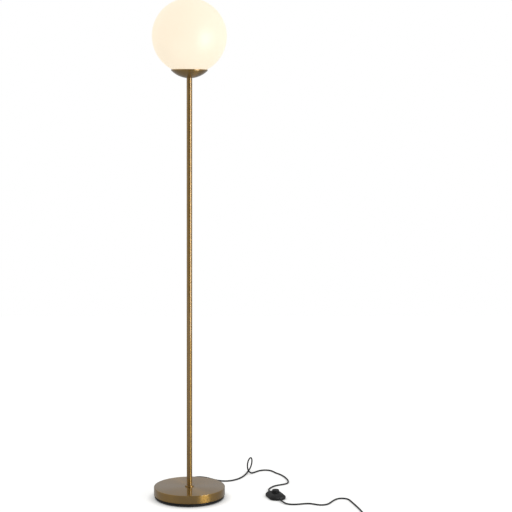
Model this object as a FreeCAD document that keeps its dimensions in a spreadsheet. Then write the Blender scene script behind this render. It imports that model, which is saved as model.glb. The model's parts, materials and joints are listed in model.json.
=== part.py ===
import FreeCAD, Part
import math
import os

import Sketcher
from FreeCAD import Vector

# Globe floor lamp. It stands on z = 0 with its pole on the Z axis. +Y is the back, where the
# lead leaves the base, and sizes are in millimetres.

doc = FreeCAD.newDocument("GlobeFloorLamp")
sheet = doc.addObject("Spreadsheet::Sheet", "Sizes")

drivingSizes = [
    ("globeRadius", 125, "outside of the opal globe"),
    ("globeWall", 3, "glass thickness"),
    ("globeCentre", 1579, "height of the globe's centre"),
    ("globeOpening", 48, "radius of the hole in the globe's underside"),
    ("rimRadius", 61.3, "outside of the cup's lip"),
    ("rimHeight", 1468.5, "top of the cup"),
    ("lipHeight", 4.2, "straight lip of the cup"),
    ("cupFloor", 1440, "underside of the cup, which is also the pole's top"),
    ("cupFlat", 10, "radius of the flat under the cup"),
    ("cupWall", 1.2, "spun sheet of the cup"),
    ("poleRadius", 9.525, "3/4 inch tube"),
    ("poleWall", 1.2, "tube wall"),
    ("plugDepth", 16, "threaded plug pressed into a tube's end"),
    ("threadRadius", 4.9, "hollow threaded rods"),
    ("threadBore", 3.6, "hole through the threaded rods"),
    ("baseRadius", 122.3, "outside of the base cover"),
    ("baseHeight", 40.7, "top of the base cover"),
    ("baseEdge", 2, "rounded edge of the base cover"),
    ("skirtFoot", 12.6, "lower edge of the base cover"),
    ("coverWall", 1.2, "sheet of the base cover"),
    ("collarRadius", 15.5, "collar at the foot of the pole"),
    ("collarHeight", 4, "collar at the foot of the pole"),
    ("weightRadius", 118, "cast iron weight"),
    ("weightFoot", 17.5, "underside of the weight"),
    ("trayRadius", 121, "black tray at its widest"),
    ("trayFoot", 1.6, "underside of the tray, and the foot pad's thickness"),
    ("trayShoulder", 8.8, "top of the tray's rounded rim"),
    ("cordRadius", 2.6, "mains lead"),
    ("cordExit", 8.2, "height of the lead where it leaves the base"),
    ("switchX", 298, "middle of the foot switch"),
    ("switchY", -9, "middle of the foot switch"),
    ("switchTurn", -74, "degrees from +X to the lead's way through the switch"),
    ("switchHalfLength", 42, "foot switch, along the lead"),
    ("switchHalfWidth", 29, "foot switch, across the lead"),
    ("switchCorner", 23, "corner radius of the foot switch, seen from above"),
    ("switchHeight", 18.5, "foot switch without its button"),
    ("switchWall", 2, "shell of the foot switch"),
    ("switchCord", 5.6, "height of the lead at the foot switch"),
    ("buttonRadius", 12.4, "round push button"),
    ("buttonTop", 28, "top of the push button"),
    ("coilX", 549, "middle of the coil"),
    ("coilY", -300, "middle of the coil"),
    ("coilRadius", 35, "first turn of the coil"),
    ("coilPitch", 5.9, "step of the coil from turn to turn"),
    ("coilFoot", 1.3, "lowest point of the coil, which lies on its tie"),
]
for row, (alias, value, note) in enumerate(drivingSizes, 1):
    sheet.set("A%d" % row, note)
    sheet.set("B%d" % row, str(value))
    sheet.setAlias("B%d" % row, alias)
doc.recompute()


class Size:
    """A length, with the sheet expression that gives it."""

    def __init__(self, value, text):
        self.value = float(value)
        self.text = text

    def __add__(self, other):
        other = asSize(other)
        return Size(self.value + other.value, "(%s + %s)" % (self.text, other.text))

    def __sub__(self, other):
        other = asSize(other)
        return Size(self.value - other.value, "(%s - %s)" % (self.text, other.text))

    def __mul__(self, other):
        other = asSize(other)
        return Size(self.value * other.value, "(%s * %s)" % (self.text, other.text))

    def __truediv__(self, other):
        other = asSize(other)
        return Size(self.value / other.value, "(%s / %s)" % (self.text, other.text))

    def __neg__(self):
        return asSize(0) - self


def asSize(thing):
    return thing if isinstance(thing, Size) else Size(thing, "(%.9g)" % thing)


def root(size):
    return Size(math.sqrt(size.value), "sqrt(%s)" % size.text)


class Dimensions:
    """The sheet's aliases, as sizes."""


dim = Dimensions()
for alias, value, note in drivingSizes:
    setattr(dim, alias, Size(sheet.get(alias), "Sizes." + alias))

nodes = []


def keep(piece, label):
    piece.Label = label
    if piece.Label != label:
        raise RuntimeError(label + " is already another object's name")
    nodes.append(piece)
    return piece


def place(piece, x=0, y=0, z=0, turn=None):
    """Puts a piece at x, y, z, turned about the vertical."""
    for name, size in (("x", x), ("y", y), ("z", z)):
        piece.setExpression("Placement.Base." + name, asSize(size).text)
    if turn is not None:
        piece.setExpression("Placement.Rotation.Angle", asSize(turn).text)
    return piece


# Outlines, and the solids made from them


def arcMiddle(start, end, radius, side):
    """The middle of the shorter arc between two points, its centre on the given side."""
    chord = end - start
    half = chord.Length / 2
    across = Vector(-chord.y, chord.x, 0).normalize() * (1 if side == "left" else -1)
    centre = (start + end) / 2 + across * math.sqrt(max(radius**2 - half**2, 0))
    return centre - across * radius


def outline(piece, name, role, points, height=None):
    """A closed outline on one of the body's planes. A point is (across, up), or
    (across, up, radius, side) where an arc starts with its centre on that side of the way."""
    sketch = piece.newObject("Sketcher::SketchObject", name)
    plane = [f for f in piece.Origin.OriginFeatures if f.Role == role][0]
    sketch.AttachmentSupport = (plane, [""])
    sketch.MapMode = "FlatFace"
    if height is not None:
        sketch.setExpression("AttachmentOffset.Base.z", asSize(height).text)
    places = [(asSize(p[0]), asSize(p[1])) for p in points]
    corners = [Vector(x.value, y.value, 0) for x, y in places]
    ends = []
    for i, point in enumerate(points):
        start, end = corners[i], corners[(i + 1) % len(points)]
        if len(point) == 2:
            sketch.addGeometry(Part.LineSegment(start, end))
            ends.append((1, 2))
            continue
        middle = arcMiddle(start, end, asSize(point[2]).value, point[3])
        if point[3] == "left":
            sketch.addGeometry(Part.Arc(start, middle, end))
            ends.append((1, 2))
        else:
            sketch.addGeometry(Part.Arc(end, middle, start))
            ends.append((2, 1))
    count = len(points)
    for i in range(count):
        after = (i + 1) % count
        sketch.addConstraint(Sketcher.Constraint("Coincident", i, ends[i][1], after, ends[after][0]))
    for i, (x, y) in enumerate(places):
        for kind, size, axis in (("DistanceX", x, -2), ("DistanceY", y, -1)):
            if size.text == "(0)":
                sketch.addConstraint(Sketcher.Constraint("PointOnObject", i, ends[i][0], axis))
                continue
            made = sketch.addConstraint(Sketcher.Constraint(kind, -1, 1, i, ends[i][0], size.value))
            bound = "%s%d" % (kind, i)
            sketch.renameConstraint(made, bound)
            sketch.setExpression("Constraints." + bound, size.text)
        if len(points[i]) == 4:
            radius = asSize(points[i][2])
            made = sketch.addConstraint(Sketcher.Constraint("Radius", i, radius.value))
            bound = "radius%d" % i
            sketch.renameConstraint(made, bound)
            sketch.setExpression("Constraints." + bound, radius.text)
    return sketch


def newBody(name):
    return doc.addObject("PartDesign::Body", name)


def revolve(piece, name, points):
    """Adds a ring or disc about the body's upright axis. Points are (radius, height)."""
    sketch = outline(piece, name + "_outline", "XZ_Plane", points)
    turned = piece.newObject("PartDesign::Revolution", name + "_turned")
    turned.Profile = sketch
    turned.ReferenceAxis = (sketch, ["V_Axis"])
    turned.Angle = 360
    return turned


def revolved(name, points):
    piece = newBody(name)
    revolve(piece, name, points)
    return piece


def ring(name, inner, outer, foot, top):
    return revolved(name, [(inner, foot), (outer, foot), (outer, top), (inner, top)])


def cylinder(name, radius, foot, height, x=0, y=0):
    made = doc.addObject("Part::Cylinder", name)
    made.setExpression("Radius", asSize(radius).text)
    made.setExpression("Height", asSize(height).text)
    return place(made, x, y, foot)


def barAlong(name, radius, length, x, y, z, axis):
    """A round bar that starts at x, y, z and runs along X or Y."""
    made = cylinder(name, radius, z, length, x, y)
    made.Placement.Rotation = FreeCAD.Rotation(Vector(0, 0, 1), axis)
    return made


def block(name, low, high):
    """A box between two corners."""
    made = doc.addObject("Part::Box", name)
    for side, a, b in zip(("Length", "Width", "Height"), low, high):
        made.setExpression(side, (asSize(b) - a).text)
    return place(made, *low)


def joined(name, pieces):
    made = doc.addObject("Part::MultiFuse", name)
    made.Shapes = pieces
    return made


def cut(name, piece, tool):
    made = doc.addObject("Part::Cut", name)
    made.Base = piece
    made.Tool = tool
    return made


def grouped(name, pieces):
    made = doc.addObject("Part::Compound", name)
    made.Links = pieces
    return made


def hexNut(name, foot, height, acrossFlats, bore):
    prism = doc.addObject("Part::Prism", name + "_prism")
    prism.Polygon = 6
    prism.setExpression("Circumradius", "%s / sqrt(3)" % asSize(acrossFlats).text)
    prism.setExpression("Height", asSize(height).text)
    place(prism, 0, 0, foot)
    hole = cylinder(name + "_hole", bore, foot - 1, asSize(height) + 2)
    return cut(name, prism, hole)


def screw(name, x, y, z, shank, length, head, headHeight, pointing=1):
    """A screw whose head bears at height z and whose shank points up, or down for -1. Its
    head has a straight slot."""
    turned = revolved(
        name + "_turned",
        [(0, -headHeight), (head * 0.8, -headHeight), (head, -headHeight * 0.4), (head, 0),
         (shank, 0), (shank, length), (0, length)],
    )
    slot = block(name + "_slot", (-head, -0.5, -headHeight - 1), (head, 0.5, -headHeight * 0.55))
    made = cut(name, turned, slot)
    place(made, x, y, z)
    if pointing < 0:
        made.Placement.Rotation = FreeCAD.Rotation(Vector(1, 0, 0), 180)
    return made


# Round tubes along a path


def cornerArc(start, corner, end):
    """The arc from start to end that is tangent to both legs of the corner between them."""
    reach = (start - corner).Length
    turn = (corner - start).getAngle(end - corner)
    middle = (start + end) / 2
    if turn < 1e-6:
        return Part.LineSegment(start, end).toShape()
    radius = reach / math.tan(turn / 2)
    inward = (middle - corner).normalize()
    top = corner + inward * (radius / math.cos(turn / 2) - radius)
    return Part.Arc(start, top, end).toShape()


def twoArcs(start, way, end, wayOn):
    """Two arcs that leave start along way, arrive at end along wayOn, and meet smoothly."""
    span = end - start
    ways = way + wayOn
    a = 2 * (way.dot(wayOn) - 1)
    b = -2 * span.dot(ways)
    c = span.dot(span)
    if abs(a) < 1e-9:
        reach = -c / b
    else:
        reach = (-b - math.sqrt(b * b - 4 * a * c)) / (2 * a)
    first, second = start + way * reach, end - wayOn * reach
    meeting = (first + second) / 2
    return [cornerArc(start, first, meeting), cornerArc(meeting, second, end)]


def tube(name, edges, radius, way):
    """A solid round tube along edges that start along way, its volume checked."""
    path = Part.Wire(edges)
    circle = Part.Circle(edges[0].Vertexes[0].Point, way, radius)
    solid = path.makePipeShell([Part.Wire([circle.toShape()])], True, False)
    expected = math.pi * radius**2 * path.Length
    share = solid.Volume / expected
    print("%s: length %.0f mm, volume %.4f of section times length" % (name, path.Length, share))
    if abs(share - 1) > 0.01:
        raise RuntimeError(name + " has the wrong volume")
    made = doc.addObject("Part::Feature", name)
    made.Shape = solid
    return made


def routeEdges(points):
    """Straight runs joined by arcs. Each arc reaches 0.45 of the shorter run beside it."""
    edges = []
    radii = []
    last = points[0]
    for before, corner, after in zip(points, points[1:], points[2:]):
        reach = 0.45 * min((corner - before).Length, (after - corner).Length)
        start = corner + (before - corner).normalize() * reach
        end = corner + (after - corner).normalize() * reach
        turn = (corner - before).getAngle(after - corner)
        radii.append(reach / math.tan(turn / 2))
        edges.append(Part.LineSegment(last, start).toShape())
        edges.append(cornerArc(start, corner, end))
        last = end
    edges.append(Part.LineSegment(last, points[-1]).toShape())
    return edges, radii


def cordAlong(name, places):
    """A free stretch of the lead along a route of hand-chosen points."""
    points = [Vector(*p) for p in places]
    edges, radii = routeEdges(points)
    runs = [(b - a).Length for a, b in zip(points, points[1:])]
    print("%s: runs %.0f to %.0f mm, radii" % (name, min(runs), max(runs)))
    print("   " + " ".join("%.0f" % r for r in radii))
    return tube(name, edges, dim.cordRadius.value, points[1] - points[0])


def leastGap(points, thickness, apart):
    """The least gap between stretches of a tube that are at least apart along it."""
    along = [0]
    for a, b in zip(points, points[1:]):
        along.append(along[-1] + (b - a).Length)
    least = None
    for i, a in enumerate(points):
        for j in range(i + 1, len(points)):
            if along[j] - along[i] > apart:
                gap = (points[j] - a).Length - thickness
                least = gap if least is None else min(least, gap)
    return least


# The lead's free route. The small curl stands where the lead turns once on itself: it rises on
# the far side, comes back over the top and lands to the right of where it rose.

cordHeight = dim.cordRadius.value + 0.05
reliefEnd = 147
lampRoute = [
    (0, reliefEnd, dim.cordExit.value),
    (0, 162, dim.cordExit.value),
    (0.5, 181, 5.4),
    (1.5, 204, cordHeight),
    (4, 228, cordHeight),
    (14, 245, cordHeight),
    (31, 253, cordHeight),
    (50, 249, cordHeight),
    (70, 234, cordHeight),
    (88, 214, cordHeight),
    (107, 199, cordHeight),
    (127, 193, cordHeight),
    (149, 197, cordHeight),
    (173, 216, cordHeight),
    (193, 246, cordHeight),
    (207, 284, cordHeight),
    (217, 323, 3),
    (226, 343, 9),
    (232, 350, 26),
    (232, 345, 44),
    (226, 328, 54),
    (217, 306, 50),
    (212, 289, 35),
    (215, 287, 15),
    (226, 294, 3),
    (240, 308, cordHeight),
    (252, 324, cordHeight),
    (266, 335, cordHeight),
    (283, 338.5, cordHeight),
    (299, 333, cordHeight),
    (310, 317, cordHeight),
    (318, 297, cordHeight),
    (333, 277, cordHeight),
    (346, 246, cordHeight),
    (354, 213, cordHeight),
    (357, 180, cordHeight),
    (350, 154, cordHeight),
    (329, 141, cordHeight),
    (305, 129, cordHeight),
    (288, 105, cordHeight),
    (280, 82, 3.7),
    (277.6, 62.1, dim.switchCord.value),
]
frontRoute = [
    (318.7, -81.1, dim.switchCord.value),
    (328, -95.5, 3.7),
    (344, -102, cordHeight),
    (366, -102, cordHeight),
    (388, -95, cordHeight),
    (407, -92.5, cordHeight),
    (423, -100, cordHeight),
    (438, -110.5, cordHeight),
    (454, -112, cordHeight),
    (468.5, -104.5, cordHeight),
    (478, -91, cordHeight),
    (490, -67, cordHeight),
    (505.5, -43, cordHeight),
    (519.5, -34.5, cordHeight),
    (535.5, -36, cordHeight),
    (548, -47, cordHeight),
    (553, -69, cordHeight),
    (561, -107, cordHeight),
    (570.5, -155, cordHeight),
    (578, -205, cordHeight),
    (582.5, -241, cordHeight),
]

# Globe, and what holds it


def arcHeight(centre, radius, across):
    """Height of a sphere's lower half at a distance from the axis."""
    return centre - root(radius * radius - across * across)


def makeGlobe():
    inside = dim.globeRadius - dim.globeWall
    mouth = arcHeight(dim.globeCentre, dim.globeRadius, dim.globeOpening)
    mouthInside = arcHeight(dim.globeCentre, inside, dim.globeOpening)
    globe = revolved(
        "globe",
        [(dim.globeOpening, mouth, dim.globeRadius, "left"),
         (0, dim.globeCentre + dim.globeRadius),
         (0, dim.globeCentre + inside, inside, "right"),
         (dim.globeOpening, mouthInside)],
    )
    keep(globe, "globe")


# The cup's curved wall is part of a sphere through its flat floor and its lip's lower edge.
cupRise = dim.rimHeight - dim.lipHeight - dim.cupFloor
wallTop = dim.rimRadius - 0.5
cupCentre = (wallTop * wallTop - dim.cupFlat * dim.cupFlat + cupRise * cupRise) / (cupRise * 2)
cupSphere = root(dim.cupFlat * dim.cupFlat + cupCentre * cupCentre)


def makeCup():
    lipFoot = dim.rimHeight - dim.lipHeight
    inner = cupSphere - dim.cupWall
    innerTop = wallTop - dim.cupWall
    innerRise = arcHeight(dim.cupFloor + cupCentre, inner, innerTop)
    innerFlat = arcHeight(dim.cupFloor + cupCentre, inner, dim.cupFlat)
    cup = revolved(
        "cup",
        [(dim.threadRadius + 0.2, dim.cupFloor),
         (dim.cupFlat, dim.cupFloor, cupSphere, "left"),
         (wallTop, lipFoot), (dim.rimRadius, lipFoot + 0.7),
         (dim.rimRadius, dim.rimHeight - 0.4), (dim.rimRadius - 0.4, dim.rimHeight),
         (innerTop, dim.rimHeight), (innerTop, innerRise, inner, "right"),
         (dim.cupFlat, innerFlat), (dim.threadRadius + 0.2, innerFlat)],
    )
    keep(cup, "cup")
    # Soft ring in the lip, which the glass sits on
    seatInner = dim.globeOpening + 6.5
    seatOuter = innerTop - 0.2
    seatGap = 0.15
    seatFoot = arcHeight(dim.cupFloor + cupCentre, inner, seatInner) + seatGap
    seatSide = arcHeight(dim.cupFloor + cupCentre, inner, seatOuter) + seatGap
    seatTop = arcHeight(dim.globeCentre, dim.globeRadius, seatInner) - 0.4
    seat = revolved("globe_seat", [(seatInner, seatFoot), (seatOuter, seatSide),
                                   (seatOuter, seatTop), (seatInner, seatTop)])
    keep(seat, "globe_seat")


def makeTopStack():
    """Threaded rod, washer, nut and spring holder, stacked on the cup's floor."""
    floor = dim.cupFloor + dim.cupWall + 0.05
    keep(ring("top_nipple", dim.threadBore, dim.threadRadius, dim.cupFloor - 15, dim.cupFloor + 14),
         "top_nipple")
    keep(ring("cup_washer", dim.threadRadius + 0.2, dim.cupFlat - 0.2, floor, floor + 1.5), "cup_washer")
    keep(hexNut("cup_nut", floor + 1.55, 4, 14, dim.threadRadius + 0.05), "cup_nut")
    plateFoot = floor + 5.6
    plateTop = plateFoot + 0.8
    holder = newBody("globe_holder")
    revolve(holder, "holder_plate", [(dim.threadRadius + 0.2, plateFoot), (24, plateFoot),
                                     (24, plateTop), (dim.threadRadius + 0.2, plateTop)])
    # A springy arm: out along the plate, up the cup's wall and against the globe's mouth
    reach = dim.globeOpening - 0.45
    side = outline(
        holder, "holder_arm_side", "XZ_Plane",
        [(18, plateFoot), (30, plateFoot + 0.6), (38.4, plateFoot + 5.6), (45.2, plateFoot + 13),
         (reach, plateFoot + 18.6), (46, plateFoot + 23), (45.3, plateFoot + 22.7),
         (reach - 0.85, plateFoot + 18.5), (44.5, plateFoot + 13.4), (37.9, plateFoot + 6.2),
         (29.8, plateFoot + 1.5), (18, plateTop)],
    )
    arm = holder.newObject("PartDesign::Pad", "holder_arm")
    arm.Profile = side
    arm.Length = 9
    arm.Midplane = True
    arms = holder.newObject("PartDesign::PolarPattern", "holder_arms")
    arms.Originals = [arm]
    upright = [f for f in holder.Origin.OriginFeatures if f.Role == "Z_Axis"][0]
    arms.Axis = (upright, [""])
    arms.Angle = 360
    arms.Occurrences = 3
    holder.Tip = arms
    keep(holder, "globe_holder")
    return plateTop


# Lampholder and bulb


def makeLampholder(foot):
    """Two-part insulating lampholder with its metal inside, standing at height foot."""
    foot = foot + 0.05
    keep(revolved("lampholder_cap",
                  [(dim.threadRadius + 0.05, foot), (17, foot), (19, foot + 2), (19, foot + 12),
                   (17.2, foot + 12), (17.2, foot + 3.5), (8, foot + 3.5), (8, foot + 6.5),
                   (dim.threadRadius + 0.05, foot + 6.5)]), "lampholder_cap")
    web = foot + 14.5
    keep(revolved("lampholder_body",
                  [(17, foot + 8), (17, foot + 12.05), (19, foot + 12.05), (19, foot + 41),
                   (18, foot + 45.5), (14, foot + 45.5), (14, web + 3.5), (3, web + 3.5),
                   (3, web), (15.2, web), (15.2, foot + 8)]), "lampholder_body")
    keep(revolved("lampholder_shell",
                  [(13.5, web + 5), (13.95, web + 5), (13.95, foot + 43), (13.5, foot + 43)]),
         "lampholder_shell")
    # Folded spring leaf under the bulb's tip
    seat = web + 3.55
    leaf = newBody("lampholder_contact")
    side = outline(leaf, "contact_side", "XZ_Plane",
                   [(-6, seat), (6, seat), (6, seat + 0.4), (-5, seat + 0.4), (3.2, seat + 3),
                    (3, seat + 3.4), (-6, seat + 0.7)])
    strip = leaf.newObject("PartDesign::Pad", "contact_strip")
    strip.Profile = side
    strip.Length = 5
    strip.Midplane = True
    keep(leaf, "lampholder_contact")
    # A terminal block with its screw on each side, under the web
    blocks = []
    for side, name in ((-1, "left"), (1, "right")):
        low = (side * 11 - 2.5, -3, web - 5.8)
        high = (side * 11 + 2.5, 3, web - 0.1)
        brick = block("terminal_" + name, low, high)
        head = barAlong("terminal_screw_" + name, 2.2, 1.6, side * 11, -4.5, web - 3, Vector(0, 1, 0))
        blocks.append(joined("terminal_pair_" + name, [brick, head]))
    keep(grouped("lampholder_terminals", blocks), "lampholder_terminals")
    return web, seat + 3.4


def makeBulb(foot):
    """Screw-in bulb standing on the lampholder's leaf. Its threaded cap has ridges."""
    tip = foot + 0.3
    keep(revolved("bulb_tip", [(0, tip), (3, tip), (4.6, tip + 1.2), (4.6, tip + 1.7), (0, tip + 1.7)]),
         "bulb_tip")
    keep(revolved("bulb_insulator", [(0, tip + 1.75), (6, tip + 1.75), (11.4, tip + 5), (0, tip + 5)]),
         "bulb_insulator")
    capFoot = tip + 5.05
    capTop = capFoot + 21
    ridges = 5
    pitch = 3.6
    wall = [(11.4, capFoot)]
    for turn in range(ridges):
        rise = capFoot + 1 + turn * pitch
        wall += [(12.4, rise), (13.05, rise + pitch * 0.35), (13.05, rise + pitch * 0.6)]
    wall += [(12.4, capFoot + 1 + ridges * pitch), (13.1, capTop), (11.8, capTop), (11.8, capFoot + 1),
             (10.6, capFoot + 0.6), (10.6, capFoot)]
    keep(revolved("bulb_cap", wall), "bulb_cap")
    neck = capTop + 0.05
    wide = neck + 32
    keep(revolved("bulb_housing",
                  [(10, neck), (13.6, neck), (16, neck + 5), (26, neck + 25), (28.4, wide),
                   (26.8, wide), (24.4, neck + 25.6), (14.3, neck + 5.6), (11.6, neck + 1.6),
                   (10, neck + 1.6)]), "bulb_housing")
    keep(revolved("bulb_light_board", [(0, wide - 3.2), (24.3, wide - 3.2), (24.3, wide - 1.6),
                                       (0, wide - 1.6)]), "bulb_light_board")
    # Opal dome: most of a sphere, with its widest part above its edge
    domeRadius = asSize(30)
    domeInner = domeRadius - 1
    edge = wide + 0.05
    centre = edge + root(domeRadius * domeRadius - asSize(28.4 * 28.4))
    innerEdge = root(domeInner * domeInner - (centre - edge) * (centre - edge))
    keep(revolved("bulb_dome",
                  [(28.4, edge, domeRadius, "left"), (0, centre + domeRadius),
                   (0, centre + domeInner, domeInner, "right"), (innerEdge, edge)]), "bulb_dome")


# Pole


def makePole():
    """Three equal tubes, each with a threaded plug pressed into its foot and its head. The
    lower two heads carry a hollow stud that screws into the next foot."""
    names = ("lower", "middle", "upper")
    length = (dim.cupFloor - dim.baseHeight) / len(names)
    inside = dim.poleRadius - dim.poleWall
    plugRadius = inside - 0.02
    bore = dim.threadRadius + 0.05
    # Each tube stops just short of its neighbour, and a fine bevel leaves a hairline there
    apart = 0.02
    bevel = 0.12
    for i, name in enumerate(names):
        foot = dim.baseHeight + length * i + apart
        head = dim.baseHeight + length * (i + 1) - apart
        keep(revolved("pole_" + name,
                      [(inside, foot), (dim.poleRadius - bevel, foot), (dim.poleRadius, foot + bevel),
                       (dim.poleRadius, head - bevel), (dim.poleRadius - bevel, head), (inside, head)]),
             "pole_" + name)
        keep(ring("pole_foot_plug_" + name, bore, plugRadius, foot, foot + dim.plugDepth),
             "pole_foot_plug_" + name)
        if name == "upper":
            keep(ring("pole_head_plug_upper", bore, plugRadius, head - dim.plugDepth, head),
                 "pole_head_plug_upper")
            continue
        stud = head + 12
        keep(revolved("pole_head_plug_" + name,
                      [(dim.threadBore, head - dim.plugDepth), (plugRadius, head - dim.plugDepth),
                       (plugRadius, head), (dim.threadRadius, head), (dim.threadRadius, stud - 0.6),
                       (dim.threadRadius - 0.6, stud), (dim.threadBore, stud)]),
             "pole_head_plug_" + name)


# Base


def makeBaseCover():
    """Spun cover with a rounded upper edge and a turned hem along its lower edge."""
    wall = dim.coverWall
    top = dim.baseHeight
    flat = dim.baseRadius - dim.baseEdge
    hemTop = dim.skirtFoot + 1.9
    cover = revolved(
        "base_cover",
        [(dim.threadRadius + 0.2, top - wall), (flat, top - wall, dim.baseEdge - wall, "right"),
         (dim.baseRadius - wall, top - dim.baseEdge), (dim.baseRadius - wall, dim.skirtFoot),
         (dim.baseRadius, dim.skirtFoot, 1.05, "left"), (dim.baseRadius, hemTop),
         (dim.baseRadius, top - dim.baseEdge, dim.baseEdge, "left"), (flat, top),
         (dim.threadRadius + 0.2, top)],
    )
    keep(cover, "base_cover")
    collarTop = top + dim.collarHeight
    collar = revolved(
        "foot_collar",
        [(dim.poleRadius + 0.08, top + 0.03), (dim.collarRadius, top + 0.03),
         (dim.collarRadius, collarTop - 1.2, 1.2, "left"), (dim.collarRadius - 1.2, collarTop),
         (dim.poleRadius + 0.08, collarTop)],
    )
    keep(collar, "foot_collar")


def makeWeight():
    """Cast disc with a recess below for the washer and nut, and a bore for the threaded rod."""
    roof = dim.weightFoot + 12.5
    top = dim.baseHeight - dim.coverWall - 0.1
    keep(revolved("base_weight",
                  [(24, dim.weightFoot), (dim.weightRadius - 1.5, dim.weightFoot),
                   (dim.weightRadius, dim.weightFoot + 1.5), (dim.weightRadius, top - 1.5),
                   (dim.weightRadius - 1.5, top), (dim.threadRadius + 0.3, top),
                   (dim.threadRadius + 0.3, roof), (24, roof)]), "base_weight")
    keep(ring("base_washer", dim.threadRadius + 0.2, 18, roof - 2.05, roof - 0.05), "base_washer")
    keep(hexNut("base_nut", roof - 8.1, 6, 17, dim.threadRadius + 0.05), "base_nut")
    keep(ring("base_nipple", dim.threadBore, dim.threadRadius, roof - 8.5, dim.baseHeight + 14),
         "base_nipple")
    return roof - 8.5


traySpots = [(80, angle) for angle in (30, 150, 270)]


def makeTray():
    """Black moulded tray: flat floor, rounded rim that shows under the cover, a neck that the
    weight stands on, and three screw posts."""
    floor = dim.trayFoot
    neck = dim.trayRadius - 2
    shoulder = dim.trayShoulder
    shell = revolved(
        "tray_shell",
        [(30, floor), (dim.trayRadius - 4, floor), (dim.trayRadius - 1.4, floor + 1.6),
         (dim.trayRadius, floor + 4.4), (dim.trayRadius, shoulder - 1.5, 1.5, "left"),
         (dim.trayRadius - 1.5, shoulder), (neck, shoulder), (neck, dim.weightFoot - 0.05),
         (neck - 3, dim.weightFoot - 0.05), (neck - 3, floor + 3), (30, floor + 3)],
    )
    posts = [shell]
    holes = []
    screws = []
    for i, (spot, angle) in enumerate(traySpots):
        x = spot * math.cos(math.radians(angle))
        y = spot * math.sin(math.radians(angle))
        posts.append(cylinder("tray_post_%d" % i, 6, floor + 2, dim.weightFoot - floor - 2.05, x, y))
        holes.append(cylinder("tray_hole_%d" % i, 2.2, floor - 1, dim.weightFoot, x, y))
        holes.append(cylinder("tray_sink_%d" % i, 4.4, floor - 1, 3.6, x, y))
        screws.append(screw("tray_screw_%d" % i, x, y, floor + 2.55, 2, 13.1, 4, 2.4))
    outlet = barAlong("tray_outlet", 3.55, 14, 0, dim.trayRadius - 10, dim.cordExit, Vector(0, 1, 0))
    tray = cut("base_tray", joined("tray_solid", posts), joined("tray_openings", holes + [outlet]))
    keep(tray, "base_tray")
    keep(grouped("tray_screws", screws), "tray_screws")
    keep(ring("foot_pad", 94, 112, 0, floor - 0.02), "foot_pad")


def makeLeadClamp():
    """Clamp that grips the lead inside the base, and its two screws."""
    floor = dim.trayFoot + 3.05
    brick = block("clamp_block", (-11, 92, floor), (11, 102, dim.cordExit + 5))
    holes = [barAlong("clamp_bore", dim.cordRadius + 0.05, 12, 0, 91, dim.cordExit, Vector(0, 1, 0))]
    screws = []
    for x in (-7.5, 7.5):
        name = "left" if x < 0 else "right"
        holes.append(cylinder("clamp_hole_" + name, 1.6, floor - 1, 15, x, 97))
        screws.append(screw("clamp_screw_" + name, x, 97, dim.cordExit + 5.05, 1.5, 8, 2.8, 1.8, -1))
    keep(cut("lead_clamp", brick, joined("clamp_openings", holes)), "lead_clamp")
    keep(grouped("clamp_screws", screws), "clamp_screws")


def makeBaseRelief():
    """Tapered strain relief through the back of the tray. It is turned about its own length."""
    inner = dim.trayRadius - 9.5
    flange = dim.trayRadius + 0.15
    end = asSize(reliefEnd)
    relief = revolved(
        "cord_strain_relief",
        [(0, inner), (3.5, inner), (3.5, flange), (4.15, flange), (4.15, flange + 1.8),
         (3.7, flange + 2.6), (dim.cordRadius + 0.4, end), (0, end)],
    )
    relief.Placement.Rotation = FreeCAD.Rotation(Vector(0, 0, 1), Vector(0, 1, 0))
    relief.setExpression("Placement.Base.z", dim.cordExit.text)
    keep(relief, "cord_strain_relief")
    return inner


def makeInnerLead(start, bendTop, end):
    """The lead inside the lamp: straight in over the tray, one bend, and up the pole."""
    height = dim.cordExit.value
    radius = bendTop.value - height
    a = Vector(0, start.value - 0.05, height)
    b = Vector(0, radius, height)
    corner = Vector(0, 0, height)
    c = Vector(0, 0, bendTop.value)
    d = Vector(0, 0, end.value)
    edges = [Part.LineSegment(a, b).toShape(), cornerArc(b, corner, c), Part.LineSegment(c, d).toShape()]
    print("lead_in_pole: bend radius %.1f mm" % radius)
    keep(tube("lead_in_pole", edges, dim.cordRadius.value, b - a), "lead_in_pole")


def wires(name, routes, radius):
    """Insulated single wires as one group. Their routes are lists of points."""
    made = []
    for i, route in enumerate(routes):
        edges, radii = routeEdges([Vector(*p) for p in route])
        made.append(tube("%s_%d" % (name, i), edges, radius, Vector(*route[1]) - Vector(*route[0])))
    return grouped(name, made)


def makeHolderWires(start, web):
    foot, top = start.value + 0.05, web.value
    routes = [[(side * 1.3, 0, foot), (side * 1.3, 0, foot + 1.6), (side * 3.6, 0.4, top - 3.4),
               (side * 8.4, 0, top - 3)] for side in (-1, 1)]
    keep(wires("lampholder_wires", routes, 0.75), "lampholder_wires")


# Foot switch, built along its own X, which is the lead's way through it


def roundedPoints(halfLength, halfWidth, corner):
    """A rectangle with round corners, from its front side anticlockwise."""
    x, y, r = halfLength, halfWidth, corner
    return [(x, r - y), (x, y - r, r, "left"), (x - r, y), (r - x, y, r, "left"), (-x, y - r),
            (-x, r - y, r, "left"), (r - x, -y), (x - r, -y, r, "left")]


def switchSection(piece, name, inset, height):
    return outline(piece, name, "XY_Plane",
                   roundedPoints(dim.switchHalfLength - inset, dim.switchHalfWidth - inset,
                                 dim.switchCorner - inset), height)


def lofted(piece, name, kind, sections, ruled=False):
    sketches = [switchSection(piece, "%s_%d" % (name, i), inset, height)
                for i, (inset, height) in enumerate(sections)]
    loft = piece.newObject("PartDesign::" + kind, name)
    loft.Profile = sketches[0]
    loft.Sections = sketches[1:]
    loft.Ruled = ruled
    return loft


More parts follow.
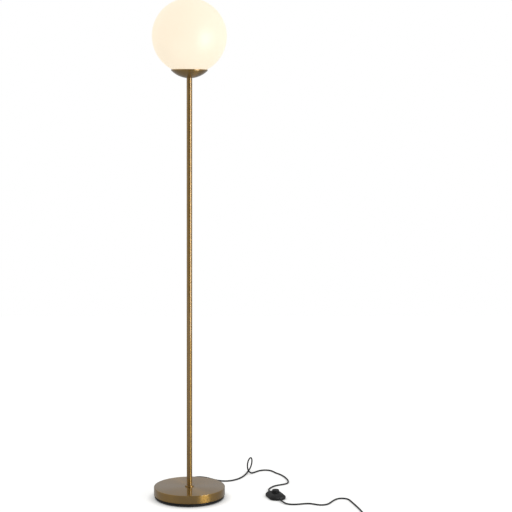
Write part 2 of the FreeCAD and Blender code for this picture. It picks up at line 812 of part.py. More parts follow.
def onSwitch(piece, label):
    """Keeps a piece of the switch, set down where the switch lies."""
    place(piece, dim.switchX, dim.switchY, 0, dim.switchTurn)
    return keep(piece, label)


switchPosts = [(24, 17), (-24, 17), (-24, -17), (24, -17)]


def makeSwitchShell():
    """Domed cover over a flat plate, with an upright wall below the dome."""
    top = dim.switchHeight
    wall = dim.switchWall
    cover = newBody("switch_cover_shell")
    lofted(cover, "cover_foot", "AdditiveLoft", [(1.2, 1.4), (0, 3.2), (0, 7.4)], ruled=True)
    lofted(cover, "cover_dome", "AdditiveLoft",
           [(0, 7.4), (1.5, 10.4), (4.6, 13.4), (9.5, 16), (15.5, top - 0.7), (20.5, top)])
    lofted(cover, "cover_room", "SubtractiveLoft", [(wall + 1, 1.3), (wall, 6.4)], ruled=True)
    lofted(cover, "cover_dome_room", "SubtractiveLoft",
           [(wall, 6.4), (wall + 1.6, 9), (wall + 4.8, 11.9), (wall + 9.6, 14.2),
            (wall + 15.4, top - wall - 0.6), (20.8, top - wall)])
    lip = cylinder("cover_lip", dim.buttonRadius + 2, top - 2.5, 3.7)
    posts = [cylinder("cover_post_%d" % i, 3.6, 3.4, 9.4, x, y) for i, (x, y) in enumerate(switchPosts)]
    holes = [cylinder("cover_button_hole", dim.buttonRadius + 0.3, top - 6, 12)]
    for i, (x, y) in enumerate(switchPosts):
        holes.append(cylinder("cover_screw_hole_%d" % i, 1.3, 1, 10, x, y))
    length = dim.switchHalfLength * 2 + 4
    holes.append(barAlong("cover_cord_hole", 3.4, length, -dim.switchHalfLength - 2, 0, dim.switchCord,
                          Vector(1, 0, 0)))
    solid = joined("cover_solid", [cover, lip] + posts)
    onSwitch(cut("switch_cover", solid, joined("cover_holes", holes)), "switch_cover")

    plate = newBody("plate_blank")
    lofted(plate, "plate_slab", "AdditiveLoft", [(wall + 1.3, 1), (wall + 1.3, 3.2)], ruled=True)
    seat = ring("plate_spring_seat", 10, 12.6, 3, 4.4)
    slots = [block("plate_slot", (-14, -3, 3.2), (14, 3, 6))]
    for side, name in ((-1, "rear"), (1, "front")):
        ends = sorted((side * 33, side * 42))
        slots.append(block("plate_notch_" + name, (ends[0], -3.6, 2.2), (ends[1], 3.6, 6)))
    for i, (x, y) in enumerate(switchPosts):
        slots.append(cylinder("plate_hole_%d" % i, 1.5, 0, 5, x, y))
        slots.append(cylinder("plate_sink_%d" % i, 2.9, 0, 2.1, x, y))
    plateSolid = joined("plate_solid", [plate, seat])
    onSwitch(cut("switch_plate", plateSolid, joined("plate_openings", slots)), "switch_plate")
    screws = [screw("plate_screw_%d" % i, x, y, 2.05, 1.2, 8.5, 2.6, 1.05)
              for i, (x, y) in enumerate(switchPosts)]
    onSwitch(grouped("switch_screws", screws), "switch_screws")
    feet = [cylinder("switch_foot_%d" % i, 4, 0, 0.95, x, y)
            for i, (x, y) in enumerate([(30, 7), (-30, 7), (-30, -7), (30, -7)])]
    onSwitch(grouped("switch_feet", feet), "switch_feet")


# Underside of the button's flange, which the spring pushes up
switchFlange = dim.switchHeight - 5.6


def makeSwitchWorks():
    """Button, plunger and bridge, which go down together against the spring."""
    radius, top = dim.buttonRadius, dim.buttonTop
    flange = switchFlange
    button = revolved(
        "switch_button",
        [(4.2, flange), (radius + 0.9, flange), (radius + 0.9, flange + 1.8), (radius, flange + 1.8),
         (radius, top - 1.6, 1.6, "left"), (radius - 1.6, top), (radius - 3, top),
         (radius - 4.2, top - 0.9), (0, top - 0.9), (0, top - 3), (4.2, top - 3)],
    )
    onSwitch(button, "switch_button")
    plunger = revolved(
        "switch_plunger",
        [(0, 8.75), (2.4, 8.75), (2.4, 12), (4.1, 12), (4.1, top - 3.05), (0, top - 3.05)],
    )
    onSwitch(plunger, "switch_plunger")
    # Moving contact: a bar with a round contact under each end
    bar = block("bridge_bar", (-9, -2.4, 8.1), (9, 2.4, 8.7))
    buttons = [cylinder("bridge_contact_" + name, 1.6, 7.45, 0.7, x) for name, x in (("a", -7), ("b", 7))]
    onSwitch(joined("switch_bridge", [bar] + buttons), "switch_bridge")
    strips = []
    screws = []
    for side, name in ((-1, "rear"), (1, "front")):
        ends = sorted((side * 5.5, side * 27))
        strips.append(block("contact_" + name, (ends[0], -2.4, 3.25), (ends[1], 2.4, 3.85)))
        screws.append(screw("terminal_screw_" + name, side * 22, 0, 5.1, 1.1, 1.2, 2.3, 1.4, -1))
    onSwitch(grouped("switch_contacts", strips), "switch_contacts")
    onSwitch(grouped("switch_terminal_screws", screws), "switch_terminal_screws")


def makeSwitchSpring():
    """Return spring as one tube, wound by quarter turns from its seat to the button."""
    foot = 4.4 + 0.55
    top = switchFlange.value - 0.55
    wire, radius, turns = 0.5, 11.3, 4
    quarters = turns * 4
    rise = (top - foot) / quarters
    points = []
    ways = []
    for i in range(quarters + 1):
        angle = i * math.pi / 2
        points.append(Vector(radius * math.cos(angle), radius * math.sin(angle), foot + rise * i))
        way = Vector(-radius * math.sin(angle), radius * math.cos(angle), rise / (math.pi / 2))
        ways.append(way.normalize())
    edges = []
    for i in range(quarters):
        edges += twoArcs(points[i], ways[i], points[i + 1], ways[i + 1])
    sampled = [p for edge in edges for p in edge.discretize(7)[:-1]]
    print("switch_spring: least gap to itself %.2f mm" % leastGap(sampled, wire * 2, radius * 3))
    spring = tube("switch_spring", edges, wire, ways[0])
    spring.Placement = onSwitchPlacement()
    keep(spring, "switch_spring")


def onSwitchPlacement():
    turn = FreeCAD.Rotation(Vector(0, 0, 1), dim.switchTurn.value)
    return FreeCAD.Placement(Vector(dim.switchX.value, dim.switchY.value, 0), turn)


reliefLength = 20


def makeSwitchReliefs():
    """A tapered strain relief on each end of the switch, turned about its own length."""
    wall = dim.switchHalfLength
    for name, way in (("rear", -1), ("front", 1)):
        relief = revolved(
            "switch_relief_" + name,
            [(0, wall - 8), (3.2, wall - 8), (3.2, wall + 0.3), (3.8, wall + 0.3), (3.8, wall + 1.8),
             (3.4, wall + 2.4), (dim.cordRadius + 0.4, wall + reliefLength), (0, wall + reliefLength)],
        )
        lying = FreeCAD.Rotation(Vector(0, 0, 1), Vector(way, 0, 0))
        base = onSwitchPlacement()
        base.Base.z = dim.switchCord.value
        relief.Placement = FreeCAD.Placement(base.Base, base.Rotation.multiply(lying))
        relief.setExpression("Placement.Base.x", dim.switchX.text)
        relief.setExpression("Placement.Base.y", dim.switchY.text)
        relief.setExpression("Placement.Base.z", dim.switchCord.text)
        keep(relief, "switch_relief_" + name)


def makeSwitchWires():
    """Live wires from each relief to its terminal, and the through wire beside the works."""
    inner = dim.switchHalfLength.value - 8.05
    z = dim.switchCord.value
    routes = []
    for side in (-1, 1):
        routes.append([(side * inner, 0.9, z), (side * (inner - 3), 0.9, z), (side * 28.5, 0.6, 4.9),
                       (side * 24.6, 0.3, 4.7)])
    routes.append([(-inner, -1.2, z), (-inner + 3, -1.2, z), (-26, -8, 4.6), (-19, -14.5, 4.4),
                   (-10, -18, 4.3), (0, -19, 4.3), (10, -18, 4.3), (19, -14.5, 4.4), (26, -8, 4.6),
                   (inner - 3, -1.2, z), (inner, -1.2, z)])
    group = wires("switch_wires", routes, 0.75)
    group.Placement = onSwitchPlacement()
    keep(group, "switch_wires")


def switchPoint(along, height):
    """A point on the lead's way through the switch, in the lamp's frame."""
    return onSwitchPlacement().multVec(Vector(along, 0, height))


# Coil of the lead's unseen length, its tie, and the plug

turnsIn = 2.25
turnsOut = 2
climbStart = 2
layerRise = 5.8


def coilPlace(turn):
    """Middle of the coiled lead after so many turns: it spirals in, climbs a layer in the half
    turn where it turns back, and spirals out again."""
    inward = min(turn, 2 * turnsIn - turn)
    radius = dim.coilRadius.value - dim.coilPitch.value * inward
    climbed = min(max((turn - climbStart) / 0.5, 0), 1)
    height = dim.coilFoot.value + dim.cordRadius.value
    height += layerRise * (1 - math.cos(math.pi * climbed)) / 2
    angle = -2 * math.pi * turn
    return Vector(dim.coilX.value + radius * math.cos(angle), dim.coilY.value + radius * math.sin(angle),
                  height)


def coilWay(turn):
    step = 1e-4
    return (coilPlace(turn + step) - coilPlace(turn - step)).normalize()


def makeCoil():
    """Returns where the coil's straight ends start and stop, and the way they run."""
    quarters = int((turnsIn + turnsOut) * 4)
    ways = [coilWay(i / 4) for i in range(quarters + 1)]
    places = [coilPlace(i / 4) for i in range(quarters + 1)]
    diameter = dim.cordRadius.value * 2
    # The inward spiral turns back at a corner of the formula, so its way there is level
    first = places[0] - ways[0] * diameter
    last = places[-1] + ways[-1] * diameter
    edges = [Part.LineSegment(first, places[0]).toShape()]
    for i in range(quarters):
        edges += twoArcs(places[i], ways[i], places[i + 1], ways[i + 1])
    edges.append(Part.LineSegment(places[-1], last).toShape())
    sampled = [p for edge in edges for p in edge.discretize(7)[:-1]]
    print("cord_coil: least gap to itself %.2f mm" % leastGap(sampled, diameter, 60))
    keep(tube("cord_coil", edges, dim.cordRadius.value, ways[0]), "cord_coil")
    return first, ways[0], last, ways[-1]


def makeTie():
    """A flat tie round all the turns at one side of the coil."""
    angle = 135
    turn = (360 - angle) / 360
    outer = dim.coilRadius - dim.coilPitch * turn + dim.cordRadius + 1
    inner = dim.coilRadius - dim.coilPitch * turnsIn - dim.cordRadius - 1
    low = dim.coilFoot - 0.25
    high = dim.coilFoot + dim.cordRadius * 2 + layerRise + 0.3
    band = 0.8
    outside = block("tie_outside", (inner - band, -4, low - band), (outer + band, 4, high + band))
    inside = block("tie_inside", (inner, -5, low), (outer, 5, high))
    tie = cut("coil_tie", outside, inside)
    place(tie, dim.coilX, dim.coilY, 0, angle)
    keep(tie, "coil_tie")


def plugSection(piece, name, halfWidth, halfHeight, corner, along):
    x, y, r = halfWidth, halfHeight, corner
    return outline(piece, name, "XY_Plane", roundedPoints(asSize(x), asSize(y), asSize(r)), along)


def makePlug(start, way):
    """Moulded two-blade plug that lies beside the coil. It is built upwards along its own Z,
    with its width across, and then laid down along the lead."""
    lying = FreeCAD.Rotation(Vector(0, way.z, 0), Vector(0, 0, 1), way, "ZXY")
    length = 34
    taper = 24
    relief = revolved("plug_relief", [(0, 0.05), (dim.cordRadius + 0.4, 0.05), (4.4, taper), (0, taper)])
    body = newBody("plug_case")
    sections = [(6, 5.4, 3, taper - 0.5), (10, 8, 4, taper + 8), (12.4, 9.2, 4.5, taper + 18),
                (12, 9, 4, taper + length)]
    sketches = [plugSection(body, "plug_section_%d" % i, *s) for i, s in enumerate(sections)]
    loft = body.newObject("PartDesign::AdditiveLoft", "plug_loft")
    loft.Profile = sketches[0]
    loft.Sections = sketches[1:]
    blades = []
    for side, name in ((-1, "left"), (1, "right")):
        x = side * 6.35
        blade = block("blade_" + name, (x - 0.75, -3.2, taper + length + 0.05),
                      (x + 0.75, 3.2, taper + length + 17.5))
        hole = barAlong("blade_hole_" + name, 1.6, 4, x - 2, 0, taper + length + 14, Vector(1, 0, 0))
        blades.append(cut("blade_cut_" + name, blade, hole))
    for piece, label in ((joined("plug_moulding", [relief, body]), "plug_body"),
                         (grouped("plug_blades", blades), "plug_blades")):
        piece.Placement = FreeCAD.Placement(start, lying)
        keep(piece, label)


# Putting it together

makeGlobe()
makeCup()
holderTop = makeTopStack()
webFoot, leafTop = makeLampholder(holderTop)
makeBulb(leafTop)
makePole()
makeBaseCover()
nippleFoot = makeWeight()
makeTray()
makeLeadClamp()
reliefInner = makeBaseRelief()
leadTop = dim.cupFloor + 15.5
makeInnerLead(reliefInner, nippleFoot, leadTop)
makeHolderWires(leadTop, webFoot)
makeSwitchShell()
makeSwitchWorks()
makeSwitchSpring()
makeSwitchReliefs()
makeSwitchWires()

reliefTip = dim.switchHalfLength.value + reliefLength
rearTip = switchPoint(-reliefTip - 0.02, dim.switchCord.value)
frontTip = switchPoint(reliefTip + 0.02, dim.switchCord.value)
coilStart, coilStartWay, coilEnd, coilEndWay = makeCoil()
makeTie()
makePlug(coilEnd + coilEndWay * 0.02, coilEndWay)
keep(cordAlong("cord_lamp_to_switch", lampRoute + [tuple(rearTip)]), "cord_lamp_to_switch")
beforeCoil = coilStart - coilStartWay * 26
keep(cordAlong("cord_switch_to_coil",
               [tuple(frontTip)] + frontRoute + [tuple(beforeCoil), tuple(coilStart - coilStartWay * 0.02)]),
     "cord_switch_to_coil")

doc.recompute()

# Checks, and one file for each piece

for thing in doc.Objects:
    if "Invalid" in thing.State or "Error" in thing.State:
        raise RuntimeError("%s did not come out: %s" % (thing.Label, thing.State))
for piece in nodes:
    if piece.Shape.isNull() or not piece.Shape.isValid() or not piece.Shape.Solids:
        raise RuntimeError(piece.Label + " is not a sound solid")
os.makedirs("parts", exist_ok=True)
for piece in nodes:
    piece.Shape.exportStep("parts/%s.step" % piece.Label)
print("%d pieces written" % len(nodes))
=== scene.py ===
import json
import math

import bpy
from mathutils import Matrix, Vector


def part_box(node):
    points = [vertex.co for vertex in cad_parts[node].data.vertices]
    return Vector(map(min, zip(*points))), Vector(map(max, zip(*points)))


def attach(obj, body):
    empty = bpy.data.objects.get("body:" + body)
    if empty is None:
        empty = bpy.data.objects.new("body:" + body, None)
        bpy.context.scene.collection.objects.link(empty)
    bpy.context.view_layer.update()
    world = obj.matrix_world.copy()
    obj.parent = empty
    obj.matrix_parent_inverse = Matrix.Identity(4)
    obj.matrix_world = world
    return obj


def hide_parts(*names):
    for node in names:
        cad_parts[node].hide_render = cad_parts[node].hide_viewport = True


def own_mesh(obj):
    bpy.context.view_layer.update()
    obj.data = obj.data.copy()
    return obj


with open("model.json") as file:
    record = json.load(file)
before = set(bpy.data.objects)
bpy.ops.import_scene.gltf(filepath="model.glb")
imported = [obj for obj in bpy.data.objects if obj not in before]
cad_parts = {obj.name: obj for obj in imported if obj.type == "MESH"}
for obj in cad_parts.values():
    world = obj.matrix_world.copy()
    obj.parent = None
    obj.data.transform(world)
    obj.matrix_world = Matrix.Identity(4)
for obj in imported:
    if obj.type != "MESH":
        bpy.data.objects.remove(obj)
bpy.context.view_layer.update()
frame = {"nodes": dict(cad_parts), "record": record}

# Globe floor lamp: an opal glass globe in a brass cup, on a slim brass pole and a round weighted
# base, with a foot switch on its lead. Metres, on z = 0, the pole on the Z axis, the lead at +Y.

mm = 0.001
bpy.ops.object.select_all(action="DESELECT")
print("frame loaded:", len(frame["nodes"]), "pieces")


# Camera, where the photograph was taken from

photo = {
    "pixels": 512,  # the picture's side
    "focal": 1370,  # focal length in those pixels
    "sensor": 36,
    "place": (0, -4.626, 1.3615),
    "down": 6.41,  # degrees
    "right": 2.799,
    "roll": 0.3044,
}


def makeCamera():
    turned = (Matrix.Rotation(math.radians(-photo["right"]), 3, "Z")
              @ Matrix.Rotation(math.radians(90 - photo["down"]), 3, "X")
              @ Matrix.Rotation(math.radians(photo["roll"]), 3, "Z"))
    bpy.ops.object.camera_add(location=photo["place"], rotation=turned.to_euler())
    camera = bpy.context.object
    camera.name = "photoCamera"
    camera.data.sensor_width = photo["sensor"]
    camera.data.lens = photo["sensor"] * photo["focal"] / photo["pixels"]
    bpy.context.scene.camera = camera


makeCamera()


# Lead: two free stretches, one each side of the foot switch

lead = {
    "radius": 0.0026,
    "resolution": 8,  # steps between two points of a route
    "roundness": 5,
    "lampLength": 0.98,  # from the base to the switch
    "plugLength": 1.31,  # from the switch to the plug, coil included
}
floorLine = 0.00265  # height of the lead's middle where it lies on the floor
lampRoute = [
    (0, 0.147, 0.0082), (0, 0.162, 0.0082), (0.0005, 0.181, 0.0054), (0.0015, 0.204, floorLine),
    (0.004, 0.228, floorLine), (0.014, 0.245, floorLine), (0.031, 0.253, floorLine),
    (0.050, 0.249, floorLine), (0.070, 0.234, floorLine), (0.088, 0.214, floorLine),
    (0.107, 0.199, floorLine), (0.127, 0.193, floorLine), (0.149, 0.197, floorLine),
    (0.173, 0.216, floorLine), (0.193, 0.246, floorLine), (0.207, 0.284, floorLine),
    (0.217, 0.323, 0.003), (0.226, 0.343, 0.009), (0.232, 0.350, 0.026), (0.232, 0.345, 0.044),
    (0.226, 0.328, 0.054), (0.217, 0.306, 0.050), (0.212, 0.289, 0.035), (0.215, 0.287, 0.015),
    (0.226, 0.294, 0.003), (0.240, 0.308, floorLine), (0.252, 0.324, floorLine),
    (0.266, 0.335, floorLine), (0.283, 0.3385, floorLine), (0.299, 0.333, floorLine),
    (0.310, 0.317, floorLine), (0.318, 0.297, floorLine), (0.333, 0.277, floorLine),
    (0.346, 0.246, floorLine), (0.354, 0.213, floorLine), (0.357, 0.180, floorLine),
    (0.350, 0.154, floorLine), (0.329, 0.141, floorLine), (0.305, 0.129, floorLine),
    (0.288, 0.105, floorLine), (0.280, 0.082, 0.0037), (0.2776, 0.0621, 0.0056),
    (0.2809, 0.0506, 0.0056),
]
plugRoute = [
    (0.3151, -0.0686, 0.0056), (0.3187, -0.0811, 0.0056), (0.328, -0.0955, 0.0037),
    (0.344, -0.102, floorLine), (0.366, -0.102, floorLine), (0.388, -0.095, floorLine),
    (0.407, -0.0925, floorLine), (0.423, -0.100, floorLine), (0.438, -0.1105, floorLine),
    (0.454, -0.112, floorLine), (0.4685, -0.1045, floorLine), (0.478, -0.091, floorLine),
    (0.490, -0.067, floorLine), (0.5055, -0.043, floorLine), (0.5195, -0.0345, floorLine),
    (0.5355, -0.036, floorLine), (0.548, -0.047, floorLine), (0.553, -0.069, floorLine),
    (0.561, -0.107, floorLine), (0.5705, -0.155, floorLine), (0.578, -0.205, floorLine),
    (0.5825, -0.241, floorLine), (0.5848, -0.2688, 0.0039),
]
coil = {
    "middle": (0.549, -0.300),
    "firstRadius": 0.035,
    "pitch": 0.0059,  # step inwards and outwards from turn to turn
    "floor": 0.0039,  # height of the lower layer's middle
    "layer": 0.0058,  # rise to the upper layer
    "turnsIn": 2.25,
    "turns": 4.25,
    "climbFrom": 2,
    "climbFor": 0.5,  # turns from one layer to the other
    "perTurn": 16,  # points in a turn
}
plugStart = (0.5438, -0.333525, 0.0097)  # where the lead enters the plug


def coilPoints():
    # The turns wind inwards, climb while they turn back, and wind outwards on top
    points = []
    spread = 1 / math.cos(math.pi / coil["perTurn"])  # the spline runs inside its points
    last = int(coil["turns"] * coil["perTurn"])
    for i in range(last + 1):
        turn = i / coil["perTurn"]
        inward = min(turn, 2 * coil["turnsIn"] - turn)
        radius = (coil["firstRadius"] - coil["pitch"] * inward) * (spread if i < last else 1)
        climbed = min(max((turn - coil["climbFrom"]) / coil["climbFor"], 0), 1)
        height = coil["floor"] + coil["layer"] * (1 - math.cos(math.pi * climbed)) / 2
        angle = -2 * math.pi * turn
        points.append((coil["middle"][0] + radius * math.cos(angle),
                       coil["middle"][1] + radius * math.sin(angle), height))
    return points


def makeLead(name, route):
    curve = bpy.data.curves.new(name, "CURVE")
    curve.dimensions = "3D"
    spline = curve.splines.new("NURBS")
    spline.points.add(len(route) - 1)
    for point, place in zip(spline.points, route):
        point.co = (*place, 1)
        point.radius = lead["radius"]
    spline.order_u = 3
    spline.use_endpoint_u = True
    spline.resolution_u = lead["resolution"]
    spline.use_smooth = True
    curve.bevel_depth = 1  # one metre, so that each point's radius is the lead's own
    curve.bevel_resolution = lead["roundness"]
    curve.use_fill_caps = True
    piece = bpy.data.objects.new(name, curve)
    bpy.context.collection.objects.link(piece)
    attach(piece, "root")
    return piece


leadToSwitch = makeLead("leadToSwitch", lampRoute)
leadToPlug = makeLead("leadToPlug", plugRoute + coilPoints() + [plugStart])
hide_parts("cord_lamp_to_switch")
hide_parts("cord_switch_to_coil", "cord_coil")
print("camera and lead made")


# Materials


def linearColour(hexCode):
    parts = [int(hexCode[i:i + 2], 16) / 255 for i in (1, 3, 5)]
    linear = [p / 12.92 if p <= 0.04045 else ((p + 0.055) / 1.055) ** 2.4 for p in parts]
    return (*linear, 1)


def addNode(tree, kind, inputs=None, **settings):
    node = tree.nodes.new(kind)
    for name, value in settings.items():
        setattr(node, name, value)
    for name, value in (inputs or {}).items():
        if isinstance(value, bpy.types.NodeSocket):
            tree.links.new(value, node.inputs[name])
        else:
            node.inputs[name].default_value = value
    return node


def startMaterial(name, **shaderValues):
    # Returns the node tree, its shader and the piece's own coordinates
    material = bpy.data.materials.new(name)
    material.use_nodes = True
    tree = material.node_tree
    shader = tree.nodes["Principled BSDF"]
    for socket, value in shaderValues.items():
        shader.inputs[socket.replace("_", " ")].default_value = value
    place = addNode(tree, "ShaderNodeTexCoord").outputs["Object"]
    return material, tree, shader, place


noiseSpan = (0.3, 0.7)  # nearly all of a noise's values lie between these


def colourAndGrain(tree, shader, cloud, grain, tones, roughness, depth):
    # Two close tones mixed by one pattern, with roughness and relief from a finer one
    tone = addNode(tree, "ShaderNodeMix", {
        0: cloud, 6: linearColour(tones[0]), 7: linearColour(tones[1])}, data_type="RGBA").outputs[2]
    rough = addNode(tree, "ShaderNodeMapRange", {
        "Value": grain, "From Min": noiseSpan[0], "From Max": noiseSpan[1],
        "To Min": roughness[0], "To Max": roughness[1]}).outputs[0]
    raised = addNode(tree, "ShaderNodeBump", {"Height": grain, "Distance": depth}).outputs[0]
    for socket, value in (("Base Color", tone), ("Roughness", rough), ("Normal", raised)):
        tree.links.new(value, shader.inputs[socket])


def plainSurface(name, tones, patch, roughness, grain, grainDepth, **shaderValues):
    # A finish of two close tones in patches of one size, with a fine grain of another in relief
    material, tree, shader, place = startMaterial(name, **shaderValues)
    cloud, fine = [addNode(tree, "ShaderNodeTexNoise", {"Vector": place, "Scale": 1 / size}).outputs[0]
                   for size in (patch, grain)]
    colourAndGrain(tree, shader, cloud, fine, tones, roughness, grainDepth)
    return material


brass = {
    "tones": ("#A27F3C", "#916F30"),
    "patch": 0.045,  # patches of the toned surface
    "detail": 3.0,  # how ragged the patches and the lines are
    "line": 0.0012,  # brush lines are nearer 0.1 mm, drawn coarser so that they show
    "lineDepth": 0.0000008,
    "roughness": (0.36, 0.42),
}


def antiqueBrass():
    # Brass toned dark, brushed round its axis and lacquered: a streaked reflection that the
    # brush lines spread across themselves, under a clear sharper gloss
    material, tree, shader, place = startMaterial(
        "antiqueBrushedBrass", Metallic=1.0, Anisotropic=0.85, Anisotropic_Rotation=0.25,
        Coat_Weight=1.0, Coat_Roughness=0.06, Coat_IOR=1.62)
    parts = addNode(tree, "ShaderNodeSeparateXYZ", {0: place}).outputs
    level = addNode(tree, "ShaderNodeCombineXYZ", {0: parts[0], 1: parts[1]}).outputs[0]
    radius = addNode(tree, "ShaderNodeVectorMath", {0: level}, operation="LENGTH").outputs["Value"]
    around = addNode(tree, "ShaderNodeVectorMath", {0: level}, operation="NORMALIZE").outputs[0]
    run = addNode(tree, "ShaderNodeMath", {0: radius, 1: parts[2]}, operation="ADD").outputs[0]
    across = addNode(tree, "ShaderNodeMath", {0: run, 1: 1 / brass["line"]}, operation="MULTIPLY").outputs[0]
    shift = addNode(tree, "ShaderNodeCombineXYZ", {2: across}).outputs[0]
    lined = addNode(tree, "ShaderNodeVectorMath", {0: around, 1: shift}, operation="ADD").outputs[0]
    lines = addNode(tree, "ShaderNodeTexNoise", {
        "Vector": lined, "Scale": 1.0, "Detail": brass["detail"]}).outputs[0]
    patch = addNode(tree, "ShaderNodeTexNoise", {
        "Vector": place, "Scale": 1 / brass["patch"], "Detail": brass["detail"]}).outputs[0]
    colourAndGrain(tree, shader, patch, lines, brass["tones"], brass["roughness"], brass["lineDepth"])
    turn = addNode(tree, "ShaderNodeTangent", direction_type="RADIAL", axis="Z")
    tree.links.new(turn.outputs[0], shader.inputs["Tangent"])
    return material


opal = {"tones": ("#B9B3A8", "#B3ACA0"), "glow": "#FFEFD4", "glowStrength": 0.73}


def opalGlass():
    # Triple-layer opal glass, etched satin outside: milky, with a soft warm light from the bulb
    return plainSurface(
        "satinOpalGlass", opal["tones"], 0.09, (0.38, 0.46), 0.0012, 0.000006,
        IOR=1.52, Subsurface_Weight=0.25, Subsurface_Radius=(1.0, 0.9, 0.75), Subsurface_Scale=0.006,
        Emission_Color=linearColour(opal["glow"]), Emission_Strength=opal["glowStrength"])


finishes = {
    "brushed_brass": antiqueBrass(),
    "opal_glass": opalGlass(),
    # Grey iron, sand cast and painted: dull, with a pebbled skin
    "cast_iron": plainSurface("sandCastIron", ("#2A2A2A", "#1E1D1C"), 0.02, (0.6, 0.75), 0.0015, 0.0001),
    # Zinc plated steel, turned and stamped: pale and slightly clouded
    "zinc_steel": plainSurface("zincPlatedSteel", ("#C2C4C2", "#A9ABA8"), 0.006, (0.25, 0.4), 0.0006,
                               0.000004, Metallic=1.0),
    # Spring steel, oil tempered: darker, satin
    "spring_steel": plainSurface("temperedSpringSteel", ("#8E9092", "#77797B"), 0.008, (0.28, 0.4),
                                 0.0005, 0.000004, Metallic=1.0),
    # Silicone rubber, moulded: pale, matt, hardly glossy at all
    "silicone": plainSurface("mouldedSilicone", ("#DCD9D0", "#CFCCC2"), 0.01, (0.5, 0.62), 0.0008,
                             0.00001, IOR=1.41),
    # Phenolic resin, pressed in a hot mould: near black, semi-gloss, with faint flow marks
    "phenolic": plainSurface("pressedPhenolic", ("#1B1815", "#120F0D"), 0.008, (0.28, 0.38), 0.0012,
                             0.000008, IOR=1.6),
    # Brass strip, pressed and left bare
    "contact_brass": plainSurface("pressedBrassStrip", ("#D9B56B", "#C6A057"), 0.006, (0.22, 0.34),
                                  0.0004, 0.000004, Metallic=1.0),
    # PVC wire insulation, extruded in brown
    "wire_insulation": plainSurface("brownWireInsulation", ("#4A3426", "#3F2C20"), 0.01, (0.35, 0.45),
                                    0.0008, 0.000005, IOR=1.53),
    # Nickel plated brass, drawn and threaded
    "nickel": plainSurface("nickelPlatedBrass", ("#D4D1C8", "#BFBCB2"), 0.008, (0.16, 0.26), 0.0005,
                           0.000003, Metallic=1.0),
    # Black glass bead fused round the tip contact
    "black_glass": plainSurface("fusedBlackGlass", ("#0B0B0C", "#080808"), 0.01, (0.05, 0.1), 0.002,
                                0.000003, IOR=1.52),
    # Polycarbonate housing, injection moulded in white
    "white_plastic": plainSurface("whitePolycarbonate", ("#EDEDE8", "#E4E4DE"), 0.02, (0.38, 0.46),
                                  0.0008, 0.000006, IOR=1.58),
    # Polycarbonate diffuser, frosted inside: bright and even
    "frosted_plastic": plainSurface("frostedPolycarbonate", ("#F6F3EA", "#F0ECE0"), 0.03, (0.4, 0.5),
                                    0.001, 0.000006, IOR=1.58,
                                    Emission_Color=linearColour("#FFE2B0"), Emission_Strength=0.5),
    # Aluminium board with a white solder mask
    "light_board": plainSurface("whiteCoatedBoard", ("#E9E9E4", "#DFDFD9"), 0.008, (0.3, 0.4), 0.0006,
                                0.000004, IOR=1.5),
    # ABS, injection moulded in black against a spark-eroded mould: matt, fine even texture
    "black_abs": plainSurface("texturedBlackAbs", ("#171718", "#111112"), 0.02, (0.42, 0.56), 0.0007,
                              0.00002, IOR=1.54, Specular_IOR_Level=0.35),
    # Nitrile rubber, cut from sheet
    "foot_rubber": plainSurface("blackFootRubber", ("#1F1F1F", "#181818"), 0.01, (0.7, 0.85), 0.0009,
                                0.00003, IOR=1.5),
    # PVC sheath, extruded: smooth, semi-matt, slightly uneven along its length
    "black_pvc": plainSurface("extrudedBlackPvc", ("#161616", "#101010"), 0.015, (0.38, 0.48), 0.003,
                              0.00002, IOR=1.53, Specular_IOR_Level=0.35),
    # Woven nylon tape
    "tie_fabric": plainSurface("wovenNylonTape", ("#252525", "#191919"), 0.004, (0.75, 0.9), 0.0007,
                               0.00008, IOR=1.53, Sheen_Weight=0.3),
}
print("materials made")


# What the pieces are made with


def selectOnly(piece):
    bpy.ops.object.select_all(action="DESELECT")
    piece.select_set(True)
    bpy.context.view_layer.objects.active = piece


def finishPiece(piece, slot, replaced, body="root", crease=35):
    selectOnly(piece)
    bpy.ops.object.transform_apply(location=True, rotation=True, scale=True)
    bpy.ops.object.shade_smooth_by_angle(angle=math.radians(crease))
    piece.data.materials.clear()
    piece.data.materials.append(finishes[slot])
    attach(piece, body)
    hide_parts(*replaced)


def arc(centre, radius, start, end, steps):
    # Points of an arc, its angles in degrees from level, turning up
    angles = [math.radians(start + (end - start) * i / steps) for i in range(steps + 1)]
    return [(centre[0] + radius * math.cos(a), centre[1] + radius * math.sin(a)) for a in angles]


def turnedPiece(name, outline, base=(0, 0, 0), axis=(0, 0, 1), across=(1, 0, 0), steps=96):
    # Spins a closed outline of (radius, height along the axis) points about its axis
    base, axis, across = Vector(base), Vector(axis), Vector(across)
    places = [base + across * radius + axis * along for radius, along in outline]
    bpy.ops.mesh.primitive_plane_add(size=mm, location=places[0])
    piece = bpy.context.object
    piece.name = name
    bpy.ops.object.mode_set(mode="EDIT")
    bpy.ops.mesh.select_all(action="SELECT")
    bpy.ops.mesh.merge(type="CENTER")
    for before, after in zip(places, places[1:] + places[:1]):
        bpy.ops.mesh.extrude_vertices_move(TRANSFORM_OT_translate={"value": after - before})
    joinDoubles()
    bpy.ops.mesh.spin(steps=steps, angle=2 * math.pi, center=base, axis=axis)
    joinDoubles()
    bpy.ops.mesh.delete_loose()
    bpy.ops.mesh.select_all(action="SELECT")
    bpy.ops.mesh.normals_make_consistent(inside=False)
    bpy.ops.object.mode_set(mode="OBJECT")
    return piece


def joinDoubles():
    bpy.ops.mesh.select_all(action="SELECT")
    bpy.ops.mesh.remove_doubles(threshold=mm / 1000)
    bpy.ops.mesh.select_all(action="SELECT")


def wallAngle(across, radius):
    # Where a sphere's lower half is that far from its axis, in degrees from level
    return -math.degrees(math.acos(across / radius))


# Globe and cup

globe = {"wall": 0.003, "opening": 0.048, "steps": 56, "around": 128}


